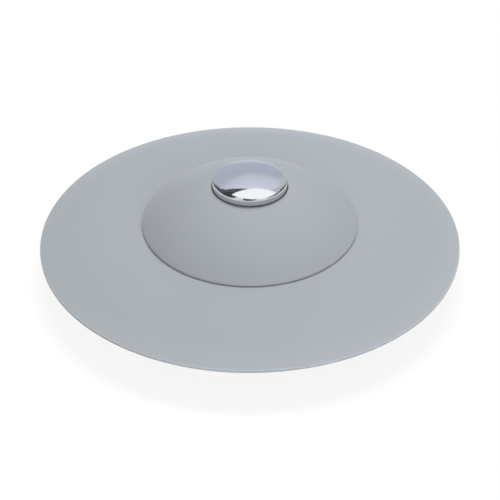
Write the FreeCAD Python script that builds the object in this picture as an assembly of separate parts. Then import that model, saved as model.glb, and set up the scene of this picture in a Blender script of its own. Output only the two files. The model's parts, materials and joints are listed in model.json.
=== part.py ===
import FreeCAD, Part
import math
import os
from collections import namedtuple

# A push-type drain stopper. Sizes are in millimetres and angles in degrees.
# The stopper's axis is the Z axis, with up towards the button. The sealing plane, where
# the edge of the disc lies on the floor round the drain, is at height zero.
# All pieces are modelled with the cap closed.

# Clearances that several pieces share
overrun = 1.0              # how far a cut runs past what it cuts
push_gap = 0.05            # radial gap of a piece pushed into another
running_gap = 0.08         # radial gap of a piece that slides or turns in another
free_gap = 0.3             # gap between pieces that pass without touching
axial_play = 0.05          # end play of the rotor and of the button under the cap

# Sealing disc, a soft saucer
disc_radius = 53.5
disc_rise = 4.8            # top of the flat seat above the sealing plane
disc_thickness = 1.6       # at the flat seat
disc_edge_thickness = 0.7
disc_seat_margin = 1.4     # flat seat outside the edge of the cap
disc_brow_width = 6.8      # outer band that bends down to the edge
disc_brow_drop = 2.1       # how far the top comes down over that band
disc_brow_bulge = 0.15
disc_brow_thickness = 1.15 # where that band begins
disc_land_width = 1.6      # flat ring below the edge, which lies on the floor
disc_edge_round = 0.3
disc_fall_bulge = 0.4      # swell of the slope between the flat seat and that band
grip_rib_count = 3         # rings below the disc
grip_rib_pitch = 4.6
grip_rib_inset = 10.5      # the outermost ring, in from the edge of the disc
grip_rib_width = 0.9
grip_rib_height = 0.5
grip_rib_round = 0.3

# Cap: a soft skin over a stiff carrier
cap_radius = 27.4
cap_height = 10.75         # from the sealing lip to the top, round the button
cap_bulge = 1.5            # how far the flank swells past a straight cone
cap_seat_gap = 0.25        # lip above the disc while closed
cover_thickness = 1.4
cover_lip_width = 2.8
cover_lip_thickness = 0.9
cover_reveal_width = 0.8   # relief below the edge, which shows as a dark line
cover_reveal_height = 0.15
cover_edge_height = 0.6
cover_mouth_round = 0.25
carrier_thickness = 1.4
carrier_boss_width = 2.6   # guide ring round the button
carrier_boss_depth = 1.1   # below the carrier's underside
carrier_rib_count = 8
carrier_rib_thickness = 1.0
carrier_rib_depth = 2.4
carrier_skirt_wall = 1.2
carrier_skirt_overlap = 3.2  # how far the skirt reaches into the cage
snap_count = 4
snap_angle = 16.0
snap_depth = 0.8
snap_height = 1.0
snap_rise = 1.0            # above the lower edge of the skirt
snap_slack_angle = 1.2
seal_section_radius = 0.55
seal_rub_gap = 0.1         # between the seal and the button
seal_floor_thickness = 1.0

# Drain frame
frame_lip_thickness = 0.8
frame_lip_gap = 0.4        # between this lip and the cover's
frame_lip_grip = 2.2       # how far the lip overlaps the disc
frame_lip_round = 0.35
frame_flange_reach = 2.6   # support below the disc, past the edge of the cap
frame_flange_thickness = 1.4
frame_flange_round = 0.5
collar_step = 1.0          # collar inside the neck that the disc grips
collar_wall = 1.4
collar_depth = 8.0         # below the sealing plane
collar_chamfer = 0.6
spoke_count = 4
spoke_angle = 45.0         # of the first spoke
spoke_width = 2.4
spoke_crest_width = 1.5
spoke_height = 2.2
spoke_round = 0.5
hub_wall = 2.2
hub_height = 4.2
hub_round = 0.4

# Strainer cage
cage_gap = 0.4             # round the cage, in the frame
cage_wall = 1.4
cage_slot_count = 30
cage_slot_width = 2.0
cage_foot_height = 1.6
cage_foot_round = 0.5
cage_slot_inset = 0.4      # top of the slots below the seat of the disc

# Push-push core
cap_lift = 7.0
button_travel = 2.0
barrel_wall = 1.4
barrel_roof = 1.2
barrel_chamfer = 0.5
barrel_flange_reach = 2.0
barrel_flange_thickness = 1.2
barrel_flange_round = 0.3
washer_thickness = 0.8
latch_count = 4
groove_angle = 31.0        # groove in which a fin rises
latch_angle = 42.0         # first ramp of a rib, up to the notch that holds the fin
latch_reach = 1.45         # radial overlap of fins and ribs
ramp_slope = 17.0
fin_angle = 24.0
fin_height = 2.2
fin_radial_gap = 0.25
rotor_wall = 1.0
rotor_height = 2.4
index_count = 8
index_slack_angle = 1.5    # between a fin and the wall of the tooth that stops it
index_gap = 0.15           # between a fin and its tooth at the end of a press
plug_floor = 1.4
plug_flange_thickness = 1.0
plug_round = 0.35
plug_slot_length = 9.0
plug_slot_width = 1.0
plug_slot_depth = 0.5
post_radius = 1.4
post_height = 1.8
post_round = 0.5
stem_radius = 3.5
stem_wall = 1.0
stem_collar_reach = 0.9    # collar that bears on the rotor
stem_collar_thickness = 1.0
stem_head = 4.0            # solid top of the stem
stem_end = 0.5             # below the clip
stem_chamfer = 0.25
clip_groove_depth = 0.4
clip_reach = 0.9
clip_thickness = 0.6
clip_mouth_angle = 80.0
spring_wire = 0.5
spring_turns = 10
spring_clearance = 0.3     # round the spring, in the stem

# Push button: a chromed shell on an insert
button_radius = 9.45
button_gap = 0.2           # round the button
button_rise = 3.25         # top of the dome above the cap
button_dome_radius = 28.0
button_edge_round = 0.25
button_shell_wall = 0.7
insert_wall = 1.0
insert_flange_reach = 1.3  # flange that lifts the cap
insert_flange_thickness = 1.0
insert_boss_wall = 2.4
stud_radius = 2.0
stud_hold_in_stem = 3.0
stud_hold_in_button = 4.2
stud_chamfer = 0.3

full_turn = 360.0
up = FreeCAD.Vector(0, 0, 1)
foot = FreeCAD.Vector(0, 0, 0)

# Radii from the edge of the cap inwards
lip_inner = cap_radius - cover_lip_width
frame_lip_radius = lip_inner - frame_lip_gap
neck_radius = frame_lip_radius - frame_lip_grip
collar_radius = neck_radius - collar_step
frame_bore = collar_radius - collar_wall
cage_radius = frame_bore - cage_gap
cage_bore = cage_radius - cage_wall
skirt_radius = cage_bore - push_gap
skirt_bore = skirt_radius - carrier_skirt_wall
flange_radius = cap_radius + frame_flange_reach
button_hole = button_radius + button_gap
boss_radius = button_hole + carrier_boss_width

# Radii of the core from the stem outwards
stem_bore = stem_radius - stem_wall
rotor_bore = stem_radius + running_gap
rotor_radius = rotor_bore + rotor_wall
stem_collar_radius = stem_radius + stem_collar_reach
clip_seat_radius = stem_radius - clip_groove_depth
clip_radius = stem_radius + clip_reach
rib_bore = rotor_radius + free_gap
fin_radius = rib_bore + latch_reach
groove_radius = fin_radius + fin_radial_gap
barrel_radius = groove_radius + barrel_wall
barrel_flange_radius = barrel_radius + barrel_flange_reach
hub_bore = barrel_radius + push_gap
hub_radius = hub_bore + hub_wall
shell_bore = button_radius - button_shell_wall
insert_radius = shell_bore - push_gap
insert_bore = insert_radius - insert_wall
insert_boss_radius = stud_radius + insert_boss_wall

# Heights of the disc, the frame and the cap
seat_level = disc_rise
flange_top = seat_level - disc_thickness
flange_bottom = flange_top - frame_flange_thickness
frame_lip_top = seat_level + frame_lip_thickness
frame_bottom = -collar_depth
spoke_top = frame_bottom + spoke_height
hub_top = frame_bottom + hub_height
cap_bottom = seat_level + cap_seat_gap
cap_top = cap_bottom + cap_height
dome_foot = cap_bottom + cover_reveal_height + cover_edge_height
cover_lip_top = cap_bottom + cover_lip_thickness
cage_bottom = spoke_top + free_gap
slot_bottom = cage_bottom + cage_foot_height
slot_top = seat_level - cage_slot_inset

# Heights of the core, from the plug upwards
plug_floor_top = frame_bottom + plug_floor
stem_bottom = plug_floor_top + button_travel + free_gap
clip_bottom = stem_bottom + stem_end
clip_top = clip_bottom + clip_thickness
rotor_bottom = clip_top + axial_play
fin_top = rotor_bottom + fin_height
rotor_top = rotor_bottom + rotor_height
stem_collar_bottom = rotor_top + axial_play
stem_collar_top = stem_collar_bottom + stem_collar_thickness
barrel_ceiling = stem_collar_top + cap_lift + axial_play
barrel_top = barrel_ceiling + barrel_roof
barrel_bottom = frame_bottom + plug_flange_thickness
barrel_flange_bottom = hub_top + washer_thickness
barrel_flange_top = barrel_flange_bottom + barrel_flange_thickness
rib_tip = fin_top + free_gap
stem_top = barrel_top + button_travel + free_gap
stem_bore_top = stem_top - stem_head
stud_bottom = stem_top - stud_hold_in_stem
stud_top = stem_top + stud_hold_in_button


def at(radius, height):
    """Point of an outline beside the axis."""
    return FreeCAD.Vector(radius, 0, height)


def bowed(first, last, bulge):
    """Middle of an arc from first to last that swells to the left of that way by bulge."""
    run = last.sub(first)
    side = FreeCAD.Vector(-run.z, 0, run.x).normalize()
    return first.add(last).multiply(1 / 2).add(side.multiply(bulge))


Rounded = namedtuple("Rounded", "corner radius")


def rounding(before, corner, after, radius):
    """Start, middle and end of the arc that rounds a corner between two straight runs."""
    back = before.sub(corner).normalize()
    ahead = after.sub(corner).normalize()
    half = back.getAngle(ahead) / 2
    reach = radius / math.tan(half)
    inwards = back.add(ahead).normalize()
    middle = corner.add(inwards.multiply(radius / math.sin(half) - radius))
    return corner.add(back.multiply(reach)), middle, corner.add(ahead.multiply(reach))


def outlined(start, *stretches):
    """Face inside an outline. Its stretches are points to run to, Rounded corners and arcs (middle, end)."""
    edges = []
    here = start
    ways = stretches + (start,)
    for place, stretch in enumerate(ways):
        if isinstance(stretch, Rounded):
            after = ways[place + 1]
            towards = after.corner if isinstance(after, Rounded) else after
            arc_start, middle, end = rounding(here, stretch.corner, towards, stretch.radius)
            edges.append(Part.LineSegment(here, arc_start).toShape())
            edges.append(Part.Arc(arc_start, middle, end).toShape())
        elif isinstance(stretch, tuple):
            middle, end = stretch
            edges.append(Part.Arc(here, middle, end).toShape())
        else:
            end = stretch
            edges.append(Part.LineSegment(here, end).toShape())
        here = end
    return Part.Face(Part.Wire(edges))


def turned(start, *stretches):
    """Solid turned about the axis from an outline beside it."""
    return outlined(start, *stretches).revolve(foot, up, full_turn)


def ring(inner, outer, bottom, top):
    """Plain ring about the axis."""
    return turned(at(inner, bottom), at(outer, bottom), at(outer, top), at(inner, top))


def spun(shape, angle):
    """Copy of a shape turned about the axis."""
    copy = shape.copy()
    copy.rotate(foot, up, angle)
    return copy


def around(shape, count, first=0.0):
    """Copies of a shape, evenly spaced about the axis."""
    return [spun(shape, first + full_turn * number / count) for number in range(count)]


def sector(inner, outer, bottom, top, start, width):
    """Part of a ring, from the angle start over the angle width."""
    outline = Part.makePolygon([at(inner, bottom), at(outer, bottom), at(outer, top), at(inner, top),
                                at(inner, bottom)])
    return spun(Part.Face(outline).revolve(foot, up, width), start)


def ramp_cut(solid, start, level, slope, above):
    """Cut a solid along a plane that leaves the radius at the angle start and the height level.

    The plane climbs with the angle for a positive slope. What is above it, or below it, goes.
    """
    reach = 2 * barrel_radius
    base = 0 if above else -reach
    block = Part.makeBox(reach, 2 * reach, reach, FreeCAD.Vector(0, -reach, base))
    block.rotate(foot, FreeCAD.Vector(1, 0, 0), slope)
    block.translate(FreeCAD.Vector(0, 0, level))
    return solid.cut(spun(block, start))


def quarter_round(centre, first, last):
    """Middle of a small rounding about a centre."""
    way = first.sub(centre).add(last.sub(centre)).normalize()
    return centre.add(way.multiply(first.distanceToPoint(centre)))


def arc_from_corner(first, corner, last):
    """Arc that leaves first towards a corner and comes into last from it."""
    weight = first.distanceToPoint(last) / (2 * first.distanceToPoint(corner))
    middle = first.add(last).add(FreeCAD.Vector(corner).multiply(2 * weight)).multiply(1 / (2 + 2 * weight))
    return Part.Arc(first, middle, last).toShape()


def biarc(first, out, last, into):
    """Two arcs from first to last that keep the headings out and into."""
    gap = last.sub(first)
    turn = out.add(into)
    square = 2 - 2 * out.dot(into)
    half = gap.dot(turn)
    reach = (math.sqrt(half ** 2 + square * gap.dot(gap)) - half) / square
    near = first.add(FreeCAD.Vector(out).multiply(reach))
    far = last.sub(FreeCAD.Vector(into).multiply(reach))
    meeting = near.add(far).multiply(1 / 2)
    return [arc_from_corner(first, near, meeting), arc_from_corner(meeting, far, last)]


def circle_through(first, last, bulge):
    """Centre and radius of the arc from first to last that swells by bulge."""
    run = last.sub(first)
    radius = run.Length ** 2 / (8 * bulge) + bulge / 2
    top = bowed(first, last, bulge)
    side = FreeCAD.Vector(-run.z, 0, run.x).normalize()
    return top.sub(side.multiply(radius)), radius


# The flank of the cap is one arc; the skin's inside and the carrier keep to the same centre
flank_centre, flank_radius = circle_through(at(button_hole, cap_top), at(cap_radius, dome_foot), cap_bulge)
cover_inside = flank_radius - cover_thickness
carrier_outside = cover_inside - push_gap
carrier_inside = carrier_outside - carrier_thickness
carrier_middle = (carrier_outside + carrier_inside) / 2


def on_flank(radius_of_arc, radius):
    """Point at a radius on an arc about the centre of the flank."""
    across = radius - flank_centre.x
    return at(radius, flank_centre.z + math.sqrt(radius_of_arc ** 2 - across ** 2))


def flank_at_height(radius_of_arc, height):
    """Point at a height on an arc about the centre of the flank."""
    rise = height - flank_centre.z
    return at(flank_centre.x + math.sqrt(radius_of_arc ** 2 - rise ** 2), height)


def along_flank(radius_of_arc, first, last):
    """Stretch of an outline along an arc about the centre of the flank."""
    return on_flank(radius_of_arc, (first.x + last.x) / 2), last


# Places that follow the flank
boss_bottom = on_flank(carrier_inside, button_hole).z - carrier_boss_depth
seal_floor = boss_bottom + seal_floor_thickness
seal_radius = button_radius + seal_rub_gap + seal_section_radius
seal_outer = seal_radius + seal_section_radius + push_gap
cage_top = on_flank(carrier_inside, cage_radius).z - free_gap
skirt_bottom = cage_top - carrier_skirt_overlap
snap_bottom = skirt_bottom + snap_rise
insert_flange_top = boss_bottom - axial_play
insert_bottom = insert_flange_top - insert_flange_thickness
button_top = cap_top + button_rise
dome_centre = at(0, button_top - button_dome_radius)
shell_inside = button_dome_radius - button_shell_wall
insert_outside = shell_inside - push_gap
insert_inside = insert_outside - insert_wall


def sealing_disc():
    """Soft saucer with a flat seat for the cap, a brow that bends down to the edge and rings below."""
    hole = neck_radius + push_gap
    seat_edge = at(cap_radius + disc_seat_margin, seat_level)
    brow_start = disc_radius - disc_brow_width
    brow_level = disc_edge_thickness + disc_brow_drop
    top_of_brow = at(brow_start, brow_level)
    edge = at(disc_radius, disc_edge_thickness)
    under_brow = at(brow_start, brow_level - disc_brow_thickness)
    under_seat = at(flange_radius + free_gap, flange_top)
    fall = (under_seat.z - under_brow.z) / (under_seat.x - under_brow.x)

    def underside(radius):
        return under_seat.z + (radius - under_seat.x) * fall

    rings = []
    for number in range(grip_rib_count):
        middle = disc_radius - grip_rib_inset - number * grip_rib_pitch
        outer = middle + grip_rib_width / 2
        inner = middle - grip_rib_width / 2
        rings.append(at(outer, underside(outer)))
        rings.append(Rounded(at(outer, underside(outer) - grip_rib_height), grip_rib_round))
        rings.append(Rounded(at(inner, underside(inner) - grip_rib_height), grip_rib_round))
        rings.append(at(inner, underside(inner)))
    return turned(
        at(hole, seat_level),
        seat_edge,
        (bowed(seat_edge, top_of_brow, disc_fall_bulge), top_of_brow),
        (bowed(top_of_brow, edge, disc_brow_bulge), edge),
        Rounded(at(disc_radius, 0), disc_edge_round),
        at(disc_radius - disc_land_width, 0),
        under_brow,
        *rings,
        under_seat,
        at(hole, flange_top),
    )


def drain_frame():
    """Collar for the drain with a groove for the disc, and a hub on spokes for the core."""
    frame = turned(
        at(frame_bore, frame_bottom),
        at(collar_radius - collar_chamfer, frame_bottom),
        at(collar_radius, frame_bottom + collar_chamfer),
        at(collar_radius, flange_bottom),
        Rounded(at(flange_radius, flange_bottom), frame_flange_round),
        at(flange_radius, flange_top),
        at(neck_radius, flange_top),
        at(neck_radius, seat_level),
        at(frame_lip_radius, seat_level),
        Rounded(at(frame_lip_radius, frame_lip_top), frame_lip_round),
        at(frame_bore, frame_lip_top),
    )
    hub = turned(
        at(hub_bore, frame_bottom),
        Rounded(at(hub_radius, frame_bottom), hub_round),
        Rounded(at(hub_radius, hub_top), hub_round),
        at(hub_bore, hub_top),
    )
    spoke_start = hub_radius - hub_wall / 2
    spoke_end = frame_bore + collar_wall / 2

    def section(side, height):
        return FreeCAD.Vector(spoke_start, side, height)

    spoke = outlined(
        section(-spoke_width / 2, frame_bottom),
        section(spoke_width / 2, frame_bottom),
        Rounded(section(spoke_crest_width / 2, spoke_top), spoke_round),
        Rounded(section(-spoke_crest_width / 2, spoke_top), spoke_round),
    ).extrude(FreeCAD.Vector(spoke_end - spoke_start, 0, 0))
    return frame.fuse([hub] + around(spoke, spoke_count, spoke_angle)).removeSplitter()


def cam_barrel():
    """Housing of the core. Its ribs end below in ramps that turn the rotor and notches that hold it."""
    barrel = turned(
        at(groove_radius, barrel_bottom),
        at(barrel_radius, barrel_bottom),
        at(barrel_radius, barrel_flange_bottom),
        at(barrel_flange_radius, barrel_flange_bottom),
        Rounded(at(barrel_flange_radius, barrel_flange_top), barrel_flange_round),
        at(barrel_radius, barrel_flange_top),
        at(barrel_radius, barrel_top - barrel_chamfer),
        at(barrel_radius - barrel_chamfer, barrel_top),
        at(stem_radius + running_gap, barrel_top),
        at(stem_radius + running_gap, barrel_ceiling),
        at(groove_radius, barrel_ceiling),
    )
    rib_angle = full_turn / latch_count - groove_angle
    outer = groove_radius + barrel_wall / 2
    top = barrel_ceiling + barrel_roof / 2
    start = groove_angle / 2
    catch = start + latch_angle
    first = sector(rib_bore, outer, rib_tip, top, start, latch_angle)
    second = sector(rib_bore, outer, rib_tip, top, catch, rib_angle - latch_angle)
    rib = ramp_cut(first, start, rib_tip, ramp_slope, False)
    rib = rib.fuse(ramp_cut(second, catch, rib_tip, ramp_slope, False))
    return barrel.fuse(around(rib, latch_count)).removeSplitter()


def fin_rise():
    """How far a fin's sloped top or bottom climbs over its width."""
    return fin_radius * math.sin(math.radians(fin_angle)) * math.tan(math.radians(ramp_slope))


def latch_rotor():
    """Tube with fins that are sloped above for the ribs and below for the index teeth."""
    start = -fin_angle / 2
    fin = sector(rotor_radius - rotor_wall / 2, fin_radius, rotor_bottom, fin_top, start, fin_angle)
    fin = ramp_cut(fin, start, fin_top - fin_rise(), ramp_slope, True)
    fin = ramp_cut(fin, start, rotor_bottom + fin_rise(), -ramp_slope, False)
    tube = ring(rotor_bore, rotor_radius, rotor_bottom, rotor_top)
    return tube.fuse(around(fin, latch_count)).removeSplitter()


def barrel_plug():
    """Lower end of the barrel, with teeth that turn the rotor at each press and a post for the spring."""
    spigot = groove_radius - push_gap
    plug = turned(
        at(0, frame_bottom),
        Rounded(at(barrel_radius, frame_bottom), plug_round),
        at(barrel_radius, barrel_bottom),
        at(spigot, barrel_bottom),
        at(spigot, plug_floor_top),
        at(post_radius, plug_floor_top),
        Rounded(at(post_radius, plug_floor_top + post_height), post_round),
        at(0, plug_floor_top + post_height),
    )
    pitch = full_turn / index_count
    wall_angle = fin_angle / 2 + index_slack_angle
    tooth_bottom = frame_bottom + plug_floor / 2
    tooth = sector(rib_bore, spigot, tooth_bottom, rotor_bottom, wall_angle - pitch, pitch)
    level = rotor_bottom - button_travel + fin_rise() - index_gap
    tooth = ramp_cut(tooth, -fin_angle / 2, level, -ramp_slope, True)
    slot_corner = FreeCAD.Vector(-plug_slot_length / 2, -plug_slot_width / 2, frame_bottom - overrun)
    slot = Part.makeBox(plug_slot_length, plug_slot_width, plug_slot_depth + overrun, slot_corner)
    return plug.fuse(around(tooth, index_count)).removeSplitter().cut(slot)


def core_washer():
    """Soft washer below the barrel's flange."""
    return ring(hub_bore, barrel_flange_radius, hub_top, barrel_flange_bottom)


def plunger_stem():
    """Hollow stem with a collar above the rotor, a groove for the clip and a threaded hole on top."""
    return turned(
        at(stem_bore, stem_bottom),
        at(stem_radius - stem_chamfer, stem_bottom),
        at(stem_radius, stem_bottom + stem_chamfer),
        at(stem_radius, clip_bottom),
        at(clip_seat_radius, clip_bottom),
        at(clip_seat_radius, clip_top),
        at(stem_radius, clip_top),
        at(stem_radius, stem_collar_bottom),
        at(stem_collar_radius, stem_collar_bottom),
        at(stem_collar_radius, stem_collar_top),
        at(stem_radius, stem_collar_top),
        at(stem_radius, stem_top),
        at(stud_radius + push_gap, stem_top),
        at(stud_radius + push_gap, stud_bottom),
        at(0, stud_bottom),
        at(0, stem_bore_top),
        at(stem_bore, stem_bore_top),
    )


def rotor_clip():
    """Open retaining clip below the rotor."""
    inner = clip_seat_radius + push_gap
    clip = ring(inner, clip_radius, clip_bottom, clip_top)
    mouth = sector(stem_bore, clip_radius + overrun, clip_bottom - overrun, clip_top + overrun,
                   -clip_mouth_angle / 2, clip_mouth_angle)
    return clip.cut(mouth)


def core_spring():
    """Compression spring between the plug and the top of the stem's bore."""
    wire_radius = spring_wire / 2
    coil_radius = stem_bore - spring_clearance - wire_radius
    bottom = plug_floor_top + wire_radius + push_gap
    climb = stem_bore_top - plug_floor_top - 2 * (wire_radius + push_gap)

    def on_coil(turns):
        angle = 2 * math.pi * turns
        height = bottom + climb * turns / spring_turns
        return FreeCAD.Vector(coil_radius * math.cos(angle), coil_radius * math.sin(angle), height)

    def heading(turns):
        angle = 2 * math.pi * turns
        rise = climb / (2 * math.pi * spring_turns)
        return FreeCAD.Vector(-coil_radius * math.sin(angle), coil_radius * math.cos(angle), rise).normalize()

    edges = []
    quarters_per_turn = 4
    for quarter in range(spring_turns * quarters_per_turn):
        start = quarter / quarters_per_turn
        end = (quarter + 1) / quarters_per_turn
        edges += biarc(on_coil(start), heading(start), on_coil(end), heading(end))
    path = Part.Wire(edges)
    section = Part.Wire(Part.makeCircle(wire_radius, on_coil(0), heading(0)))
    spring = path.makePipeShell([section], True, False)
    points_per_turn = 36
    points = [on_coil(number / points_per_turn) for number in range(spring_turns * points_per_turn)]
    apart = points_per_turn // 2
    gap = min(one.distanceToPoint(other)
              for place, one in enumerate(points)
              for other in points[place + apart:])
    print("least gap between turns of the spring: %.2f mm" % (gap - spring_wire))
    return spring


def on_dome(radius_of_arc, radius):
    """Point at a radius on an arc about the centre of the button's dome."""
    return at(radius, dome_centre.z + math.sqrt(radius_of_arc ** 2 - radius ** 2))


def along_dome(radius_of_arc, first, last):
    """Stretch of an outline along an arc about the centre of the button's dome."""
    return on_dome(radius_of_arc, (first.x + last.x) / 2), last


def push_button():
    """Chromed shell of the button, with a low dome and a rounded edge."""
    to_round = button_dome_radius - button_edge_round
    round_centre = on_dome(to_round, button_radius - button_edge_round)
    side = at(button_radius, round_centre.z)
    edge = dome_centre.add(round_centre.sub(dome_centre).multiply(button_dome_radius / to_round))
    ceiling = on_dome(shell_inside, 0)
    corner = on_dome(shell_inside, shell_bore)
    return turned(
        at(shell_bore, insert_flange_top),
        at(button_radius, insert_flange_top),
        side,
        (quarter_round(round_centre, side, edge), edge),
        along_dome(button_dome_radius, edge, at(0, button_top)),
        ceiling,
        along_dome(shell_inside, ceiling, corner),
    )


def button_insert():
    """Core of the button, with a flange that lifts the cap and a boss for the stud."""
    flange = button_radius + insert_flange_reach
    hole = stud_radius + push_gap
    shoulder = on_dome(insert_outside, insert_radius)
    top = on_dome(insert_outside, 0)
    boss_corner = on_dome(insert_inside, insert_boss_radius)
    wall_corner = on_dome(insert_inside, insert_bore)
    return turned(
        at(insert_bore, insert_bottom),
        at(flange, insert_bottom),
        at(flange, insert_flange_top),
        at(insert_radius, insert_flange_top),
        shoulder,
        along_dome(insert_outside, shoulder, top),
        at(0, stud_top + free_gap),
        at(hole, stud_top + free_gap),
        at(hole, stem_top),
        at(insert_boss_radius, stem_top),
        boss_corner,
        along_dome(insert_inside, boss_corner, wall_corner),
    )


def button_stud():
    """Stud between stem and button."""
    return turned(
        at(0, stud_bottom),
        at(stud_radius - stud_chamfer, stud_bottom),
        at(stud_radius, stud_bottom + stud_chamfer),
        at(stud_radius, stud_top - stud_chamfer),
        at(stud_radius - stud_chamfer, stud_top),
        at(0, stud_top),
    )


def cone_cover():
    """Soft skin of the cap, with a lip that wraps below the carrier and seals on the disc."""
    mouth_side = at(button_hole, cap_top - cover_mouth_round)
    mouth = on_flank(flank_radius, button_hole + cover_mouth_round)
    edge = at(cap_radius, dome_foot)
    inside_foot = flank_at_height(cover_inside, cover_lip_top)
    inside_top = on_flank(cover_inside, button_hole)
    return turned(
        mouth_side,
        (quarter_round(at(mouth.x, mouth_side.z), mouth_side, mouth), mouth),
        along_flank(flank_radius, mouth, edge),
        at(cap_radius, cap_bottom + cover_reveal_height),
        at(cap_radius - cover_reveal_width, cap_bottom),
        at(lip_inner, cap_bottom),
        at(lip_inner, cover_lip_top),
        inside_foot,
        along_flank(cover_inside, inside_foot, inside_top),
    )


def cap_carrier():
    """Stiff dome below the skin, with a guide ring for the button, a seat for its seal, ribs and a skirt."""
    boss_corner = on_flank(carrier_inside, boss_radius)
    skirt_inside = on_flank(carrier_inside, skirt_bore)
    skirt_outside = on_flank(carrier_inside, skirt_radius)
    rim_inside = flank_at_height(carrier_inside, cover_lip_top)
    rim_outside = flank_at_height(carrier_outside, cover_lip_top)
    seal_corner = on_flank(carrier_outside, seal_outer)
    if boss_radius < skirt_bore:
        ceiling = along_flank(carrier_inside, boss_corner, skirt_inside)
        hollow = (at(boss_radius, boss_bottom), boss_corner, ceiling)
    else:
        hollow = (at(skirt_bore, boss_bottom),)  # a wide guide ring and the skirt are one wall
    carrier = turned(
        at(button_hole, boss_bottom),
        *hollow,
        at(skirt_bore, skirt_bottom),
        at(skirt_radius, skirt_bottom),
        skirt_outside,
        along_flank(carrier_inside, skirt_outside, rim_inside),
        rim_outside,
        along_flank(carrier_outside, rim_outside, seal_corner),
        at(seal_outer, seal_floor),
        at(button_hole, seal_floor),
    )
    rib_start = boss_radius - carrier_boss_width / 2
    rib_end = skirt_bore + carrier_skirt_wall / 2
    rib_bottom = skirt_inside.z - carrier_rib_depth
    rib_corner = on_flank(carrier_middle, rib_end)
    under_dome = turned(
        at(rib_start, rib_bottom),
        at(rib_end, rib_bottom),
        rib_corner,
        along_flank(carrier_middle, rib_corner, on_flank(carrier_middle, rib_start)),
    )
    corner = FreeCAD.Vector(0, -carrier_rib_thickness / 2, rib_bottom)
    web = Part.makeBox(rib_end, carrier_rib_thickness, cap_top - rib_bottom, corner)
    ribs = under_dome.common(Part.makeCompound(around(web, carrier_rib_count)))
    snap = sector(skirt_radius - carrier_skirt_wall / 2, skirt_radius + snap_depth, snap_bottom,
                  snap_bottom + snap_height, -snap_angle / 2, snap_angle)
    return carrier.fuse(ribs.Solids + around(snap, snap_count)).removeSplitter()


def round_slot(inner, outer, width, bottom, top):
    """Cutter along the X axis for an upright slot with round ends."""
    half = width / 2

    def side(across, height):
        return FreeCAD.Vector(inner, across, height)

    return outlined(
        side(half, top - half),
        (side(0, top), side(-half, top - half)),
        side(-half, bottom + half),
        (side(0, bottom), side(half, bottom + half)),
    ).extrude(FreeCAD.Vector(outer - inner, 0, 0))


def strainer_cage():
    """Slotted ring below the carrier, with windows for its snaps."""
    cage = turned(
        at(cage_bore, cage_top),
        Rounded(at(cage_bore, cage_bottom), cage_foot_round),
        Rounded(at(cage_radius, cage_bottom), cage_foot_round),
        at(cage_radius, cage_top),
    )
    slot = round_slot(cage_bore - overrun, cage_radius + overrun, cage_slot_width, slot_bottom, slot_top)
    window_angle = snap_angle + 2 * snap_slack_angle
    window = sector(cage_bore - overrun, cage_radius + overrun, snap_bottom - push_gap,
                    snap_bottom + snap_height + push_gap, -window_angle / 2, window_angle)
    return cage.cut(around(slot, cage_slot_count) + around(window, snap_count))


def button_seal():
    """Ring seal round the button, in its seat in the carrier."""
    height = seal_floor + seal_section_radius + push_gap
    return Part.makeTorus(seal_radius, seal_section_radius, at(0, height))


os.makedirs("parts", exist_ok=True)
pieces = (
    sealing_disc, drain_frame, cam_barrel, core_washer, barrel_plug, core_spring,
    cone_cover, cap_carrier, strainer_cage, button_seal,
    push_button, button_insert, button_stud, plunger_stem, rotor_clip, latch_rotor,
)
for piece in pieces:
    shape = piece()
    shape.exportStep("parts/%s.step" % piece.__name__)
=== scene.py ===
import json
import math

import bpy
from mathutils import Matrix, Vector


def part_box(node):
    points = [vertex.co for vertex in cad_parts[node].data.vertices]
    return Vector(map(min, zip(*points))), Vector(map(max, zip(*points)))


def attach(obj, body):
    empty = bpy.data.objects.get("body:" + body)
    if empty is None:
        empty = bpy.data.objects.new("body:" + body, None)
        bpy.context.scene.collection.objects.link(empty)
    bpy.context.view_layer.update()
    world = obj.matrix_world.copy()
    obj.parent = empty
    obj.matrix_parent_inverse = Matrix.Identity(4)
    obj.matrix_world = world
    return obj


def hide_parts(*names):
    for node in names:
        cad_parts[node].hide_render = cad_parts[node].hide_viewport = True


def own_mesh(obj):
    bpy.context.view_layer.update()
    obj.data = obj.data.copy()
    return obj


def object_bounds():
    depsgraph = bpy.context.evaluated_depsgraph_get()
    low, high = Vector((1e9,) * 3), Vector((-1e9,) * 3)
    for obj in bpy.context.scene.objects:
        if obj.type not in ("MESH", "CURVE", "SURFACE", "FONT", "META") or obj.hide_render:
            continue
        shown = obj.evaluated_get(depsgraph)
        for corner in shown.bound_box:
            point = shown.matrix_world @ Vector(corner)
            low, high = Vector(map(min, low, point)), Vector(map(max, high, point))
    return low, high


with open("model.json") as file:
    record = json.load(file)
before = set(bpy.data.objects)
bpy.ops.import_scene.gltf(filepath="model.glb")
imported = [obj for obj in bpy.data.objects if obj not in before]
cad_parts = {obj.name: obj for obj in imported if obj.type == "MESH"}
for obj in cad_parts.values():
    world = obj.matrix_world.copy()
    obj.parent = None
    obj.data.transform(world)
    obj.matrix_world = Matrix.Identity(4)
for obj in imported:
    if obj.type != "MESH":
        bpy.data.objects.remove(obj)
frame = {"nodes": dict(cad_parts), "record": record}        # metres; the stopper is closed and its sealing plane is at height zero
cadBox = [list(corner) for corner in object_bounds()]
nodes = frame["nodes"]
mm = 0.001
fullTurn = 2 * math.pi


# how turned pieces are made
turning = {
    "cornerSteps": 5,         # stretches on each rounded corner
    "cornerShare": 0.48,      # most of a side that a rounding may take
    "onAxis": 1e-6,           # points this near to the axis lie on it
    "sharpAngle": 40,         # degrees; edges that turn more stay sharp
}


# outlines run as (radius, height) in millimetres, anticlockwise, with the axis on the left

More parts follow.
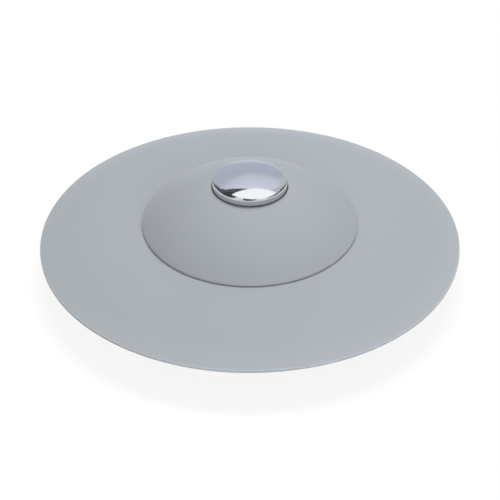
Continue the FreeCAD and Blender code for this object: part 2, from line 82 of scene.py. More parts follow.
def circleThrough(start, end, bulge):
    # centre and radius of the arc from start to end that swells to the right of that way by bulge
    across = end[0] - start[0]
    rise = end[1] - start[1]
    chord = math.hypot(across, rise)
    radius = chord ** 2 / (8 * bulge) + bulge / 2
    side = (rise / chord, -across / chord)
    return [(start[i] + end[i]) / 2 + side[i] * (bulge - radius) for i in range(2)], radius


def turnPoints(centre, start, end, steps):
    # points from start to end on the circle about a centre
    radius = math.dist(centre, start)
    first = math.atan2(start[1] - centre[1], start[0] - centre[0])
    last = math.atan2(end[1] - centre[1], end[0] - centre[0])
    sweep = (last - first + math.pi) % fullTurn - math.pi
    turns = [first + sweep * step / steps for step in range(steps + 1)]
    return [(centre[0] + radius * math.cos(a), centre[1] + radius * math.sin(a)) for a in turns]


def arcPoints(start, end, bulge, steps):
    return turnPoints(circleThrough(start, end, bulge)[0], start, end, steps)


def softened(outline):
    # rounds each corner that is given as (radius, height, rounding)
    steps = turning["cornerSteps"]
    soft = []
    for i, corner in enumerate(outline):
        here = Vector(corner[:2])
        if len(corner) == 2:
            soft.append(here)
            continue
        back = Vector(outline[i - 1][:2]) - here
        ahead = Vector(outline[(i + 1) % len(outline)][:2]) - here
        half = back.angle(ahead) / 2
        shortSide = min(back.length, ahead.length)
        reach = min(corner[2] / math.tan(half), shortSide * turning["cornerShare"])
        rounding = reach * math.tan(half)
        inward = (back.normalized() + ahead.normalized()).normalized()
        centre = here + inward * (rounding / math.sin(half))
        first = here + back.normalized() * reach - centre
        last = here + ahead.normalized() * reach - centre
        turn = first.angle_signed(last)
        for step in range(steps + 1):
            a = -turn * step / steps
            soft.append(centre + Vector((first.x * math.cos(a) - first.y * math.sin(a),
                                         first.x * math.sin(a) + first.y * math.cos(a))))
    return [(point[0], point[1]) for point in soft]


def refined(outline, longest):
    # splits the long straight runs, so that a warp bends them evenly
    fine = []
    for i, (radius, height) in enumerate(outline):
        nextRadius, nextHeight = outline[(i + 1) % len(outline)]
        pieces = max(1, math.ceil(math.hypot(nextRadius - radius, nextHeight - height) / longest))
        for piece in range(pieces):
            share = piece / pieces
            fine.append((radius + (nextRadius - radius) * share, height + (nextHeight - height) * share))
    return fine


def lathe(name, outline, segments, warp=None):
    # closed outline turned about the axis; points on the axis become one pole each
    verts = []
    rows = []
    for radius, height in outline:
        row = []
        for segment in range(segments if radius > turning["onAxis"] else 1):
            angle = fullTurn * segment / segments
            lift = warp(radius, angle) if warp else 0.0
            row.append(len(verts))
            verts.append((radius * math.cos(angle) * mm, radius * math.sin(angle) * mm, (height + lift) * mm))
        rows.append(row)
    faces = []
    for i, row in enumerate(rows):
        other = rows[(i + 1) % len(rows)]
        if len(row) == 1 and len(other) == 1:
            continue
        for segment in range(segments):
            after = (segment + 1) % segments
            if len(row) == 1:
                faces.append((row[0], other[after], other[segment]))
            elif len(other) == 1:
                faces.append((row[segment], row[after], other[0]))
            else:
                faces.append((row[segment], row[after], other[after], other[segment]))
    mesh = bpy.data.meshes.new(name)
    mesh.from_pydata(verts, [], faces)
    mesh.validate()
    mesh.shade_smooth()
    mesh.set_sharp_from_angle(angle=math.radians(turning["sharpAngle"]))
    piece = bpy.data.objects.new(name, mesh)
    bpy.context.scene.collection.objects.link(piece)
    return piece


def takesOver(piece, finish, node, body):
    piece.data.materials.append(finish)
    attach(piece, body)
    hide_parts(node)
    print(piece.name, "stands for", node, "with", len(piece.data.polygons), "faces")


# shader groups that several finishes share; scales count features along a metre
effects = {
    "speckScale": 2600.0,
    "gritFineness": 2.3,      # how much finer the grit is than the pebbles
    "flatBend": 0.52,         # the bend of a surface that is no edge
    "breakupScale": 300.0,    # gaps in the worn edges and their painted sheen
    "smearStretch": (1.0, 2.6, 1.0),
    "smearTurn": (0.0, 0.0, 0.6),
    "smearRange": (0.35, 0.75),
    "noiseMiddle": 0.5,
}


def newGroup(name, inputs, outputs):
    group = bpy.data.node_groups.new(name, "ShaderNodeTree")
    for label, kind, value in inputs:
        socket = group.interface.new_socket(label, in_out="INPUT", socket_type=kind)
        socket.default_value = value
    for label, kind in outputs:
        group.interface.new_socket(label, in_out="OUTPUT", socket_type=kind)
    return group, group.nodes.new("NodeGroupInput"), group.nodes.new("NodeGroupOutput")


def add(tree, kind, **settings):
    node = tree.nodes.new(kind)
    for label, value in settings.items():
        setattr(node, label, value)
    return node


def calc(tree, operation, first, second=None, clamp=False):
    node = add(tree, "ShaderNodeMath", operation=operation, use_clamp=clamp)
    for socket, value in zip(node.inputs, (first, second)):
        if isinstance(value, bpy.types.NodeSocket):
            tree.links.new(value, socket)
        elif value is not None:
            socket.default_value = value
    return node.outputs[0]


def noise(tree, place, scale, detail, rough=0.5):
    node = add(tree, "ShaderNodeTexNoise")
    node.inputs["Detail"].default_value = detail
    node.inputs["Roughness"].default_value = rough
    tree.links.new(place, node.inputs["Vector"])
    if isinstance(scale, bpy.types.NodeSocket):
        tree.links.new(scale, node.inputs["Scale"])
    else:
        node.inputs["Scale"].default_value = scale
    return node.outputs["Fac"]


def blendColor(tree, share, first, second, mode="MIX"):
    node = add(tree, "ShaderNodeMix", data_type="RGBA", blend_type=mode)
    colors = [s for s in node.inputs if s.type == "RGBA"]
    for socket, value in zip([node.inputs["Factor"]] + colors, (share, first, second)):
        if isinstance(value, bpy.types.NodeSocket):
            tree.links.new(value, socket)
        else:
            socket.default_value = value
    return [s for s in node.outputs if s.type == "RGBA"][0]


def scaled(tree, color, level):
    grey = add(tree, "ShaderNodeCombineColor")
    for socket in grey.inputs:
        tree.links.new(level, socket)
    return blendColor(tree, 1.0, color, grey.outputs["Color"], "MULTIPLY")


def mouldedToneGroup():
    # slow drift of tone and fine specks, as in moulded rubber and plastic
    group, given, out = newGroup(
        "mouldedTone",
        [("Color", "NodeSocketColor", (0.5, 0.5, 0.5, 1)), ("Drift", "NodeSocketFloat", 0.04),
         ("Specks", "NodeSocketFloat", 0.03), ("Patch Scale", "NodeSocketFloat", 40.0)],
        [("Color", "NodeSocketColor")])
    place = add(group, "ShaderNodeTexCoord").outputs["Object"]
    patches = noise(group, place, given.outputs["Patch Scale"], detail=3.0, rough=0.55)
    specks = noise(group, place, effects["speckScale"], detail=1.0)
    level = 1.0
    for spots, strength in ((patches, "Drift"), (specks, "Specks")):
        swing = calc(group, "SUBTRACT", spots, effects["noiseMiddle"])
        level = calc(group, "ADD", calc(group, "MULTIPLY", swing, given.outputs[strength]), level)
    group.links.new(scaled(group, given.outputs["Color"], level), out.inputs["Color"])
    return group


def sparkGrainGroup():
    # the fine pebble of a spark-eroded mould, as a height
    group, given, out = newGroup(
        "sparkGrain",
        [("Grain Scale", "NodeSocketFloat", 3500.0), ("Pebble", "NodeSocketFloat", 0.5)],
        [("Height", "NodeSocketFloat")])
    place = add(group, "ShaderNodeTexCoord").outputs["Object"]
    cells = add(group, "ShaderNodeTexVoronoi", feature="SMOOTH_F1")
    group.links.new(place, cells.inputs["Vector"])
    group.links.new(given.outputs["Grain Scale"], cells.inputs["Scale"])
    gritScale = calc(group, "MULTIPLY", given.outputs["Grain Scale"], effects["gritFineness"])
    grit = noise(group, place, gritScale, detail=2.0)
    pebble = calc(group, "MULTIPLY", cells.outputs["Distance"], given.outputs["Pebble"])
    group.links.new(calc(group, "ADD", pebble, grit), out.inputs["Height"])
    return group


def wornAndSheenedEdgeGroup():
    # mask of convex edges, where handling polishes a surface and where the colour also carries a painted
    # sheen (painted highlight)
    group, given, out = newGroup(
        "wornAndSheenedEdge",
        [("Sharpness", "NodeSocketFloat", 8.0), ("Breakup", "NodeSocketFloat", 0.5)],
        [("Mask", "NodeSocketFloat")])
    place = add(group, "ShaderNodeTexCoord").outputs["Object"]
    bend = add(group, "ShaderNodeNewGeometry").outputs["Pointiness"]
    convex = calc(group, "SUBTRACT", bend, effects["flatBend"])
    edge = calc(group, "MULTIPLY", convex, given.outputs["Sharpness"], clamp=True)
    broken = noise(group, place, effects["breakupScale"], detail=3.0)
    keep = calc(group, "SUBTRACT", 1.0, calc(group, "MULTIPLY", broken, given.outputs["Breakup"]))
    group.links.new(calc(group, "MULTIPLY", edge, keep, clamp=True), out.inputs["Mask"])
    return group


def handlingFilmGroup():
    # faint smears that change the gloss
    group, given, out = newGroup(
        "handlingFilm",
        [("Smear Scale", "NodeSocketFloat", 60.0), ("Clean", "NodeSocketFloat", 0.1),
         ("Smeared", "NodeSocketFloat", 0.2)],
        [("Roughness", "NodeSocketFloat")])
    place = add(group, "ShaderNodeTexCoord").outputs["Object"]
    drawn = add(group, "ShaderNodeMapping")
    drawn.inputs["Scale"].default_value = effects["smearStretch"]
    drawn.inputs["Rotation"].default_value = effects["smearTurn"]
    group.links.new(place, drawn.inputs["Vector"])
    smear = noise(group, drawn.outputs["Vector"], given.outputs["Smear Scale"], detail=4.0, rough=0.6)
    spread = add(group, "ShaderNodeMapRange")
    group.links.new(smear, spread.inputs["Value"])
    for label, value in zip(("From Min", "From Max"), effects["smearRange"]):
        spread.inputs[label].default_value = value
    group.links.new(given.outputs["Clean"], spread.inputs["To Min"])
    group.links.new(given.outputs["Smeared"], spread.inputs["To Max"])
    group.links.new(spread.outputs["Result"], out.inputs["Roughness"])
    return group


def paintedRimLightGroup():
    # painted light on the rim: how much paler a turned piece is coloured towards its thin outer edge,
    # standing in for the light that comes through it there
    group, given, out = newGroup(
        "paintedRimLight",
        [("Start", "NodeSocketFloat", 0.046), ("Lip", "NodeSocketFloat", 0.053),
         ("Edge", "NodeSocketFloat", 0.0535), ("Band Lift", "NodeSocketFloat", 0.1),
         ("Edge Lift", "NodeSocketFloat", 0.4)],
        [("Level", "NodeSocketFloat")])
    apart = add(group, "ShaderNodeSeparateXYZ")
    group.links.new(add(group, "ShaderNodeTexCoord").outputs["Object"], apart.inputs[0])
    square = [calc(group, "MULTIPLY", apart.outputs[axis], apart.outputs[axis]) for axis in ("X", "Y")]
    reach = calc(group, "SQRT", calc(group, "ADD", *square))
    lifts = []
    for first, last, lift in (("Start", "Edge", "Band Lift"), ("Lip", "Edge", "Edge Lift")):
        spread = add(group, "ShaderNodeMapRange")
        group.links.new(reach, spread.inputs["Value"])
        group.links.new(given.outputs[first], spread.inputs["From Min"])
        group.links.new(given.outputs[last], spread.inputs["From Max"])
        group.links.new(given.outputs[lift], spread.inputs["To Max"])
        lifts.append(spread.outputs["Result"])
    group.links.new(calc(group, "ADD", calc(group, "ADD", *lifts), 1.0), out.inputs["Level"])
    return group


mouldedTone = mouldedToneGroup()
paintedRimLight = paintedRimLightGroup()
sparkGrain = sparkGrainGroup()
wornAndSheenedEdge = wornAndSheenedEdgeGroup()
handlingFilm = handlingFilmGroup()
print("shader groups:", [g.name for g in bpy.data.node_groups])


def placeGroup(tree, group, **values):
    node = add(tree, "ShaderNodeGroup", node_tree=group)
    for label, value in values.items():
        node.inputs[label.replace("_", " ")].default_value = value
    return node


def newFinish(name):
    finish = bpy.data.materials.new(name)
    finish.use_nodes = True
    tree = finish.node_tree
    return finish, tree, tree.nodes["Principled BSDF"]


def addBump(tree, shader, height, distance, strength):
    bump = add(tree, "ShaderNodeBump")
    bump.inputs["Distance"].default_value = distance
    bump.inputs["Strength"].default_value = strength
    tree.links.new(height, bump.inputs["Height"])
    tree.links.new(bump.outputs["Normal"], shader.inputs["Normal"])


def moulded(name, look):
    # one recipe for rubber and plastic: drifting tone, edges paler from wear and from a painted sheen, uneven
    # gloss, spark-eroded grain
    finish, tree, shader = newFinish(name)
    tone = placeGroup(tree, mouldedTone, Color=look["color"] + (1,), Drift=look["drift"],
                      Specks=look["specks"], Patch_Scale=look["patchScale"])
    # edges painted paler: partly wear, partly a painted highlight
    edge = placeGroup(tree, wornAndSheenedEdge, Sharpness=look["edgeSharpness"], Breakup=0.5)
    wornAndPaintedLightColor = blendColor(tree, edge.outputs["Mask"], tone.outputs["Color"], look["edgeWearAndSheenColor"] + (1,))
    # painted light: the colour turns paler towards the thin rim, standing in for light on that edge
    if "lip" in look:
        wornAndPaintedLightColor = scaled(tree, wornAndPaintedLightColor, placeGroup(tree, paintedRimLight, **look["lip"]).outputs["Level"])
    tree.links.new(wornAndPaintedLightColor, shader.inputs["Base Color"])
    film = placeGroup(tree, handlingFilm, Smear_Scale=look["smearScale"], Clean=look["gloss"][0],
                      Smeared=look["gloss"][1])
    tree.links.new(film.outputs["Roughness"], shader.inputs["Roughness"])
    grain = placeGroup(tree, sparkGrain, Grain_Scale=look["grainScale"], Pebble=0.6)
    addBump(tree, shader, grain.outputs["Height"], distance=look["grainDepth"], strength=0.5)
    shader.inputs["Specular IOR Level"].default_value = look["specular"]
    return finish


rubberLook = {
    "color": (0.438, 0.469, 0.498), "edgeWearAndSheenColor": (0.50, 0.53, 0.55), "edgeSharpness": 5.0,
    "drift": 0.03, "specks": 0.02, "patchScale": 55.0, "smearScale": 40.0, "gloss": (0.50, 0.60),
    "grainScale": 3600.0, "grainDepth": 0.00002, "specular": 0.4}
# radii in metres, from where the disc is coloured paler, as painted light on its rim
discPaintedRimLight = {"Start": 0.0465, "Lip": 0.0531, "Edge": 0.0535, "Band_Lift": 0.08, "Edge_Lift": 0.38}
softRubber = moulded("softGreyRubber", rubberLook)
paintedRimLightRubber = moulded("lippedGreyRubber", dict(rubberLook, lip=discPaintedRimLight))
greyPlastic = moulded("greyMouldedPlastic", {
    "color": (0.40, 0.43, 0.46), "edgeWearAndSheenColor": (0.50, 0.53, 0.55), "edgeSharpness": 6.0,
    "drift": 0.05, "specks": 0.02, "patchScale": 70.0, "smearScale": 60.0, "gloss": (0.30, 0.45),
    "grainScale": 3000.0, "grainDepth": 0.00002, "specular": 0.5})
offWhiteAcetal = moulded("offWhiteAcetal", {
    "color": (0.80, 0.80, 0.77), "edgeWearAndSheenColor": (0.86, 0.86, 0.83), "edgeSharpness": 5.0,
    "drift": 0.04, "specks": 0.01, "patchScale": 90.0, "smearScale": 90.0, "gloss": (0.25, 0.38),
    "grainScale": 5000.0, "grainDepth": 0.00001, "specular": 0.5})
blackRubber = moulded("blackSealRubber", {
    "color": (0.03, 0.03, 0.03), "edgeWearAndSheenColor": (0.06, 0.06, 0.06), "edgeSharpness": 5.0,
    "drift": 0.10, "specks": 0.05, "patchScale": 90.0, "smearScale": 90.0, "gloss": (0.50, 0.65),
    "grainScale": 4000.0, "grainDepth": 0.00002, "specular": 0.5})


def metal(name, look):
    finish, tree, shader = newFinish(name)
    shader.inputs["Metallic"].default_value = 1.0
    tone = placeGroup(tree, mouldedTone, Color=look["color"] + (1,), Drift=look["drift"], Specks=0.0,
                      Patch_Scale=look["patchScale"])
    tree.links.new(tone.outputs["Color"], shader.inputs["Base Color"])
    film = placeGroup(tree, handlingFilm, Smear_Scale=look["smearScale"], Clean=look["gloss"][0],
                      Smeared=look["gloss"][1])
    tree.links.new(film.outputs["Roughness"], shader.inputs["Roughness"])
    if "lines" in look:          # turning marks or drawing lines
        place = add(tree, "ShaderNodeTexCoord").outputs["Object"]
        stretch = add(tree, "ShaderNodeMapping")
        stretch.inputs["Scale"].default_value = look["lines"]
        tree.links.new(place, stretch.inputs["Vector"])
        lines = noise(tree, stretch.outputs["Vector"], scale=1.0, detail=2.0)
        addBump(tree, shader, lines, distance=look["lineDepth"], strength=0.4)
    return finish


polishedChrome = metal("polishedChrome", {
    "color": (0.62, 0.63, 0.65), "drift": 0.02, "patchScale": 80.0, "smearScale": 120.0,
    "gloss": (0.03, 0.07)})
springSteel = metal("drawnSpringSteel", {
    "color": (0.55, 0.55, 0.56), "drift": 0.10, "patchScale": 300.0, "smearScale": 400.0,
    "gloss": (0.20, 0.32), "lines": (6000.0, 6000.0, 800.0), "lineDepth": 0.00001})
turnedBrass = metal("turnedBrass", {
    "color": (0.72, 0.52, 0.22), "drift": 0.10, "patchScale": 300.0, "smearScale": 300.0,
    "gloss": (0.20, 0.34), "lines": (300.0, 300.0, 9000.0), "lineDepth": 0.00001})

finishOfSlot = {
    "grey_rubber": softRubber, "grey_plastic": greyPlastic, "core_plastic": offWhiteAcetal,
    "seal_rubber": blackRubber, "spring_steel": springSteel, "stud_brass": turnedBrass,
    "chrome": polishedChrome}
for subpart in frame["record"]["subparts"]:
    for slot in nodes[subpart["node"]].material_slots:
        slot.material = finishOfSlot[subpart["material_slot"]]
print("finishes:", sorted(finishOfSlot))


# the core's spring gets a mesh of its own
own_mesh(nodes["core_spring"])


# the soft sealing disc
saucer = {
    "hole": 22.05,            # grips the neck of the frame
    "seatEdge": 28.8,         # flat seat for the cap, out to here
    "seatThickness": 1.6,
    "fallBulge": 0.4,         # swell of the slope past the seat
    "browWidth": 6.8,         # outer band that bends down to the floor
    "browDrop": 2.1,
    "browBulge": 0.15,
    "browThickness": 1.15,
    "edgeThickness": 0.7,
    "edgeRound": 0.3,
    "landWidth": 1.6,
    "landRound": 0.3,
    "underBrowRound": 3.0,
    "holeRound": 0.2,
    "underSeat": 30.3,        # where the support below ends
    "ringCount": 3,           # grip rings below
    "ringPitch": 4.6,
    "ringInset": 10.5,
    "ringWidth": 0.9,
    "ringHeight": 0.5,
    "ringFootRound": 0.12,
    "ringTipRound": 0.3,
    "ripple": 0.10,           # how uneven the soft edge lies
    "waves": [(3, 0.6, 1.0), (5, 2.1, 0.6), (8, 0.0, 0.35)],   # count round the edge, start, share
    "browSteps": 12,
    "fallSteps": 20,
    "longestRun": 1.2,
    "segments": 288,
}


def makeSaucer():
    low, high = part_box("sealing_disc")
    radius = high.y / mm
    seat = high.z / mm
    brow = radius - saucer["browWidth"]
    browLevel = saucer["edgeThickness"] + saucer["browDrop"]
    under = (saucer["underSeat"], seat - saucer["seatThickness"])
    underBrow = (brow, browLevel - saucer["browThickness"])
    fall = (under[1] - underBrow[1]) / (under[0] - underBrow[0])
    outline = [(saucer["hole"], under[1]), under]
    for ringNumber in reversed(range(saucer["ringCount"])):
        middle = radius - saucer["ringInset"] - ringNumber * saucer["ringPitch"]
        for side in (-1, 1):
            at = middle + side * saucer["ringWidth"] / 2
            level = under[1] + (at - under[0]) * fall
            foot = [(at, level, saucer["ringFootRound"]),
                    (at, level - saucer["ringHeight"], saucer["ringTipRound"])]
            outline += foot if side < 0 else foot[::-1]
    outline.append(underBrow + (saucer["underBrowRound"],))
    outline.append((radius - saucer["landWidth"], low.z / mm, saucer["landRound"]))
    outline.append((radius, low.z / mm, saucer["edgeRound"]))
    edge = (radius, saucer["edgeThickness"])
    browTop = (brow, browLevel)
    outline.append(edge + (saucer["edgeRound"],))
    outline += arcPoints(edge, browTop, saucer["browBulge"], saucer["browSteps"])[1:]
    outline += arcPoints(browTop, (saucer["seatEdge"], seat), saucer["fallBulge"], saucer["fallSteps"])[1:]
    outline.append((saucer["hole"], seat, saucer["holeRound"]))
    crest = sum(share for count, start, share in saucer["waves"])

    def ripple(at, angle):
        loose = max(0.0, (at - saucer["seatEdge"]) / (radius - saucer["seatEdge"])) ** 2
        wave = sum(share * math.sin(count * angle + start) for count, start, share in saucer["waves"])
        return loose * saucer["ripple"] * (wave + crest) / 2

    fine = refined(softened(outline), saucer["longestRun"])
    piece = lathe("soft_saucer", fine, saucer["segments"], ripple)
    takesOver(piece, paintedRimLightRubber, "sealing_disc", "frame")


makeSaucer()


# the soft skin of the cap
skin = {
    "mouthGap": 0.15,         # round the button
    "topLevel": 15.8,
    "bulge": 1.75,            # of the flank
    "thickness": 1.1,
    "mouthRound": 0.14,
    "footLevel": 5.45,        # where the flank begins
    "edgeRound": 0.15,
    "settle": 0.17,           # the soft lip sinks towards the disc
    "revealHeight": 0.06,     # relief below the edge, the dark line round the cap
    "revealWidth": 0.8,
    "revealRound": 0.15,
    "brinkRound": 0.06,       # where the relief meets the edge
    "lipWidth": 2.8,
    "lipThickness": 0.9,
    "lipTopRound": 0.2,
    "lipFootRound": 0.3,
    "flankSteps": 44,
    "insideSteps": 30,
    "segments": 288,
}


def makeSkin():
    low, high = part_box("cone_cover")
    radius = high.x / mm
    bottom = low.z / mm - skin["settle"]
    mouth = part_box("push_button")[1].x / mm + skin["mouthGap"]
    foot = (radius, skin["footLevel"])
    top = (mouth, skin["topLevel"])
    centre, flank = circleThrough(foot, top, skin["bulge"])
    inner = flank - skin["thickness"]          # the inside keeps to the centre of the flank
    lipTop = bottom + skin["lipThickness"]
    innerTop = (mouth, centre[1] + math.sqrt(inner ** 2 - (mouth - centre[0]) ** 2))
    innerFoot = (centre[0] + math.sqrt(inner ** 2 - (lipTop - centre[1]) ** 2), lipTop)
    lip = radius - skin["lipWidth"]
    outline = [(lip, lipTop, skin["lipTopRound"]), (lip, bottom, skin["lipFootRound"]),
               (radius - skin["revealWidth"], bottom, skin["revealRound"]),
               (radius, bottom + skin["revealHeight"], skin["brinkRound"]), foot + (skin["edgeRound"],)]
    outline += turnPoints(centre, foot, top, skin["flankSteps"])[1:-1]
    outline.append(top + (skin["mouthRound"],))
    outline += turnPoints(centre, innerTop, innerFoot, skin["insideSteps"])
    piece = lathe("cap_skin", softened(outline), skin["segments"])
    takesOver(piece, softRubber, "cone_cover", "cap")


makeSkin()


# the chrome button
button = {
    "domeRadius": 28.0,
    "edgeRound": 0.3,
    "wall": 0.7,
    "footRound": 0.15,
    "boreRound": 0.1,
    "edgeSteps": 12,
    "domeSteps": 36,
    "insideSteps": 16,
    "segments": 320,
}


def makeButton():
    low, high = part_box("push_button")
    radius = high.x / mm
    top = high.z / mm
    bottom = low.z / mm
    centre = (0.0, top - button["domeRadius"])
    bore = radius - button["wall"]
    inner = button["domeRadius"] - button["wall"]
    toRound = button["domeRadius"] - button["edgeRound"]
    roundAt = radius - button["edgeRound"]
    roundCentre = (roundAt, centre[1] + math.sqrt(toRound ** 2 - roundAt ** 2))
    side = (radius, roundCentre[1])
    grow = button["domeRadius"] / toRound
    edge = (roundAt * grow, centre[1] + (roundCentre[1] - centre[1]) * grow)
    ceiling = (0.0, centre[1] + inner)
    corner = (bore, centre[1] + math.sqrt(inner ** 2 - bore ** 2))
    outline = [(bore, bottom, button["boreRound"]), (radius, bottom, button["footRound"])]
    outline += turnPoints(roundCentre, side, edge, button["edgeSteps"])
    outline += turnPoints(centre, edge, (0.0, top), button["domeSteps"])[1:-1] + [(0.0, top)]
    outline += [ceiling] + turnPoints(centre, ceiling, corner, button["insideSteps"])[1:]
    piece = lathe("chrome_button", softened(outline), button["segments"])
    takesOver(piece, polishedChrome, "push_button", "button")


makeButton()


# studio: white floor, soft lamps and panels
studio = {
    "ambient": 0.30,          # soft light from all round
    "backdrop": 1.0,          # white that is only seen
    "floorReach": 3.0,
    "floorGlow": 0.885,       # white that is only seen, too
    "floorColor": 0.14,       # paint that takes the shadow
}
# azimuth 0 is the camera's side and 90 the right; level is the share of full light on a facing surface
lowFill = {"elevation": 12, "distance": 1.30, "size": (0.80, 0.40)}
lamps = {
    "keySoftbox": {"azimuth": 172, "elevation": 63, "distance": 1.20, "size": (0.86, 0.32), "level": 0.655},
    "frontRight": dict(lowFill, azimuth=20, level=0.366),
    "frontLeft": dict(lowFill, azimuth=-20, level=0.073),
    "backLow": dict(lowFill, azimuth=180, level=0.056),
}


def almond(left, right, lowBulge, highBulge, steps=24):
    # outline of two arcs between two tips
    return arcPoints(left, right, lowBulge, steps) + arcPoints(right, left, highBulge, steps)[1:-1]


# panels that only mirror in the gloss: where each stands, its outline (across, up) there
# and its tones from bottom to top
sideBank = {"elevation": 34, "distance": 1.70,
            "outline": [(-0.5, -0.34), (0.5, -0.34), (0.5, 0.26), (-0.5, 0.26)],
            "tones": [(0.0, (0.20, 0.20, 0.22)), (1.0, (0.50, 0.51, 0.54))]}
panels = {
    "softboxFace": {"azimuth": 172, "elevation": 63, "distance": 0.70,
                    "outline": almond((-0.227, 0.022), (0.197, -0.108), 0.028, 0.151),
                    "tones": [(0.0, (1.40, 1.44, 1.46))]},
    "softboxFrame": {"azimuth": 172, "elevation": 63, "distance": 0.71,
                     "outline": [(-0.37, -0.055), (-0.22, -0.02), (-0.16, 0.016), (-0.18, 0.058),
                                 (-0.21, 0.10), (-0.26, 0.10), (-0.33, 0.058)],
                     "tones": [(0.0, (0.07, 0.07, 0.08))]},
    "ceilingBar": {"azimuth": 172, "elevation": 63, "distance": 0.71,
                   "outline": [(-0.105, 0.11), (-0.07, 0.05), (0.0, 0.05), (0.04, 0.10), (0.01, 0.75),
                               (-0.06, 0.75)],
                   "tones": [(0.0, (0.07, 0.07, 0.08))]},
    "paleFoot": {"azimuth": 180, "elevation": 0, "distance": 0.25,
                 "outline": [(-0.11, -0.0075), (0.11, -0.0075), (0.11, 0.10), (0.10, 0.10), (0.07, 0.072),
                             (0.05, 0.050), (0.035, 0.032), (-0.11, 0.028)],
                 "tones": [(0.0, (0.71, 0.77, 0.88))]},
    "greyFoot": {"azimuth": 180, "elevation": 0, "distance": 0.255,
                 "outline": [(-0.21, -0.0075), (0.21, -0.0075), (0.21, 0.10), (0.11, 0.10), (0.10, 0.028),
                             (-0.21, 0.028)],
                 "tones": [(0.0, (0.45, 0.47, 0.50))]},
    "paleWall": {"azimuth": 180, "elevation": 0, "distance": 0.80,
                 "outline": [(-0.40, 0.0), (0.12, 0.0), (0.24, 0.20), (0.29, 0.40), (0.40, 0.72),
                             (0.42, 0.86), (0.40, 1.11), (0.30, 1.20), (0.20, 1.25), (0.0, 1.25),
                             (-0.20, 1.17), (-0.42, 1.05), (-0.465, 0.90), (-0.42, 0.60)],
                 "tones": [(0.0, (0.606, 0.638, 0.737)), (0.35, (0.606, 0.638, 0.737)),
                           (0.47, (0.773, 0.79, 0.92)), (0.65, (0.86, 0.88, 1.0)),
                           (1.0, (0.97, 1.0, 1.06))]},
    "greyWall": {"azimuth": 180, "elevation": 0, "distance": 0.82,
                 "outline": [(0.0, 0.0), (0.42, 0.0), (0.44, 0.60), (0.51, 0.95), (0.55, 1.12), (0.58, 1.28),
                             (0.22, 1.28)],
                 "tones": [(0.0, (0.68, 0.71, 0.74))]},
    "darkWall": {"azimuth": 180, "elevation": 0, "distance": 1.30,
                 "outline": [(-1.1, 0.0), (1.1, 0.0), (1.1, 1.25), (-1.1, 1.25)],
                 "tones": [(0.0, (0.13, 0.13, 0.16))]},
    "darkSlope": {"azimuth": 180, "elevation": 45, "distance": 1.76,
                  "outline": [(-1.1, -0.04), (1.1, -0.04), (1.1, 0.72), (-1.1, 0.72)],
                  "tones": [(0.0, (0.13, 0.13, 0.16))]},
    "frontBank": {"azimuth": 0, "elevation": 38, "distance": 1.70,
                  "outline": [(-0.9, -0.30), (1.0, -0.36), (1.0, 0.24), (-0.9, 0.30)],
                  "tones": [(0.0, (0.16, 0.16, 0.18)), (1.0, (0.42, 0.43, 0.46))]},
    "rightBank": dict(sideBank, azimuth=72),
    "leftBank": dict(sideBank, azimuth=-72),
}
toneLean = {
    "lag": 0.45,              # how far the tones lag behind on their way up, at a panel's left edge
    "reach": 0.5,             # share of the panel's width over which that wears off
}


def seenDirectly(tree):
    # one for rays from the camera, a mirror or a pane, and zero for soft light
    path = add(tree, "ShaderNodeLightPath")
    seen = calc(tree, "MAXIMUM", path.outputs["Is Camera Ray"], path.outputs["Is Glossy Ray"])
    return calc(tree, "MAXIMUM", seen, path.outputs["Is Transmission Ray"])


def makeWorld():
    world = bpy.data.worlds.new("studioWorld")
    bpy.context.scene.world = world
    world.use_nodes = True
    tree = world.node_tree
    tree.nodes.clear()
    mix = add(tree, "ShaderNodeMixShader")
    tree.links.new(seenDirectly(tree), mix.inputs["Fac"])
    for place, strength in ((1, studio["ambient"]), (2, studio["backdrop"])):
        light = add(tree, "ShaderNodeBackground")
        light.inputs["Strength"].default_value = strength
        light.inputs["Color"].default_value = (1, 1, 1, 1)
        tree.links.new(light.outputs[0], mix.inputs[place])
    tree.links.new(mix.outputs[0], add(tree, "ShaderNodeOutputWorld").inputs["Surface"])


def makeFloor():
    finish = bpy.data.materials.new("whiteFloor")
    finish.use_nodes = True
    tree = finish.node_tree
    tree.nodes.clear()
    glow = add(tree, "ShaderNodeEmission")
    shine = calc(tree, "MULTIPLY", seenDirectly(tree), studio["floorGlow"])
    tree.links.new(shine, glow.inputs["Strength"])
    paint = add(tree, "ShaderNodeBsdfDiffuse")
    paint.inputs["Color"].default_value = (studio["floorColor"],) * 3 + (1,)
    lit = add(tree, "ShaderNodeAddShader")
    tree.links.new(glow.outputs[0], lit.inputs[0])
    tree.links.new(paint.outputs[0], lit.inputs[1])
    clear = add(tree, "ShaderNodeBsdfTransparent")     # seen from below, the floor is not there
    side = add(tree, "ShaderNodeNewGeometry").outputs["Backfacing"]
    mix = add(tree, "ShaderNodeMixShader")
    tree.links.new(side, mix.inputs["Fac"])
    tree.links.new(lit.outputs[0], mix.inputs[1])
    tree.links.new(clear.outputs[0], mix.inputs[2])
    tree.links.new(mix.outputs[0], add(tree, "ShaderNodeOutputMaterial").inputs["Surface"])
    mesh = bpy.data.meshes.new("floor")
    reach = studio["floorReach"]
    level = cadBox[0][2]
    mesh.from_pydata([(-reach, -reach, level), (reach, -reach, level), (reach, reach, level),
                      (-reach, reach, level)], [], [(0, 1, 2, 3)])
    mesh.materials.append(finish)
    floor = bpy.data.objects.new("floor", mesh)
    bpy.context.scene.collection.objects.link(floor)


def wayFrom(azimuth, elevation):
    turn = math.radians(azimuth)
    lift = math.radians(elevation)
    return Vector((math.cos(lift) * math.sin(turn), -math.cos(lift) * math.cos(turn), math.sin(lift)))


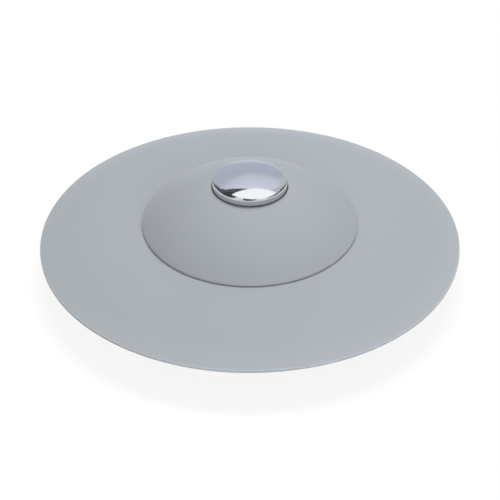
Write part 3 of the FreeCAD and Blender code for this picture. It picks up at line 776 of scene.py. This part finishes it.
def addLamp(name, lamp):
    data = bpy.data.lights.new(name, "AREA")
    data.shape = "ELLIPSE"
    data.size, data.size_y = lamp["size"]
    data.energy = lamp["level"] * math.pi ** 2 * lamp["distance"] ** 2
    light = bpy.data.objects.new(name, data)
    way = wayFrom(lamp["azimuth"], lamp["elevation"])
    light.location = way * lamp["distance"]
    light.rotation_euler = (-way).to_track_quat("-Z", "Y").to_euler()
    light.visible_camera = False
    light.visible_glossy = False          # the panels mirror instead
    bpy.context.scene.collection.objects.link(light)


def addPanel(name, panel):
    finish = bpy.data.materials.new(name)
    finish.use_nodes = True
    tree = finish.node_tree
    tree.nodes.clear()
    glow = add(tree, "ShaderNodeEmission")
    glow.inputs["Color"].default_value = panel["tones"][0][1] + (1,)
    if len(panel["tones"]) > 1:
        apart = add(tree, "ShaderNodeSeparateXYZ")
        tree.links.new(add(tree, "ShaderNodeTexCoord").outputs["Generated"], apart.inputs[0])
        ramp = add(tree, "ShaderNodeValToRGB")
        stops = ramp.color_ramp.elements
        while len(stops) < len(panel["tones"]):
            stops.new(0.5)        # moved to its place below
        for stop, (place, color) in zip(stops, panel["tones"]):
            stop.position = place
            stop.color = color + (1,)
        across = calc(tree, "DIVIDE", apart.outputs["X"], toneLean["reach"], clamp=True)
        caughtUp = calc(tree, "MULTIPLY", across, toneLean["lag"])
        share = calc(tree, "ADD", caughtUp, 1 - toneLean["lag"])
        tree.links.new(calc(tree, "MULTIPLY", apart.outputs["Z"], share), ramp.inputs["Fac"])
        tree.links.new(ramp.outputs["Color"], glow.inputs["Color"])
    tree.links.new(glow.outputs[0], add(tree, "ShaderNodeOutputMaterial").inputs["Surface"])
    way = wayFrom(panel["azimuth"], panel["elevation"])
    right = way.cross(Vector((0, 0, 1))).normalized()
    up = right.cross(way)
    verts = [way * panel["distance"] + right * x + up * y for x, y in panel["outline"]]
    mesh = bpy.data.meshes.new(name)
    mesh.from_pydata(verts, [], [range(len(verts))])
    mesh.materials.append(finish)
    sheet = bpy.data.objects.new(name, mesh)
    bpy.context.scene.collection.objects.link(sheet)
    for rays in ("camera", "diffuse", "shadow", "transmission"):
        setattr(sheet, "visible_" + rays, False)


makeWorld()
makeFloor()
for name, lamp in lamps.items():
    addLamp(name, lamp)
for name, panel in panels.items():
    addPanel(name, panel)
print("studio is lit")


# camera
view = {
    "distance": 0.360,
    "elevation": 35.35,
    "lens": 100.9,            # millimetres, as is the sensor
    "sensor": 36.0,
    "target": (0.0, 0.0, 0.0005),
    "shift": (0.0003, -0.0294),
    "nearest": 0.01,          # nothing closer than this is drawn
}


def makeCamera():
    data = bpy.data.cameras.new("camera")
    data.sensor_width = view["sensor"]
    data.lens = view["lens"]
    data.shift_x, data.shift_y = view["shift"]
    data.clip_start = view["nearest"]
    camera = bpy.data.objects.new("camera", data)
    lift = math.radians(view["elevation"])
    away = Vector((0.0, -math.cos(lift), math.sin(lift)))
    camera.location = Vector(view["target"]) + away * view["distance"]
    camera.rotation_euler = (-away).to_track_quat("-Z", "Y").to_euler()
    bpy.context.scene.collection.objects.link(camera)
    bpy.context.scene.camera = camera


makeCamera()
bpy.context.scene.view_settings.view_transform = "Standard"
print("camera is set")
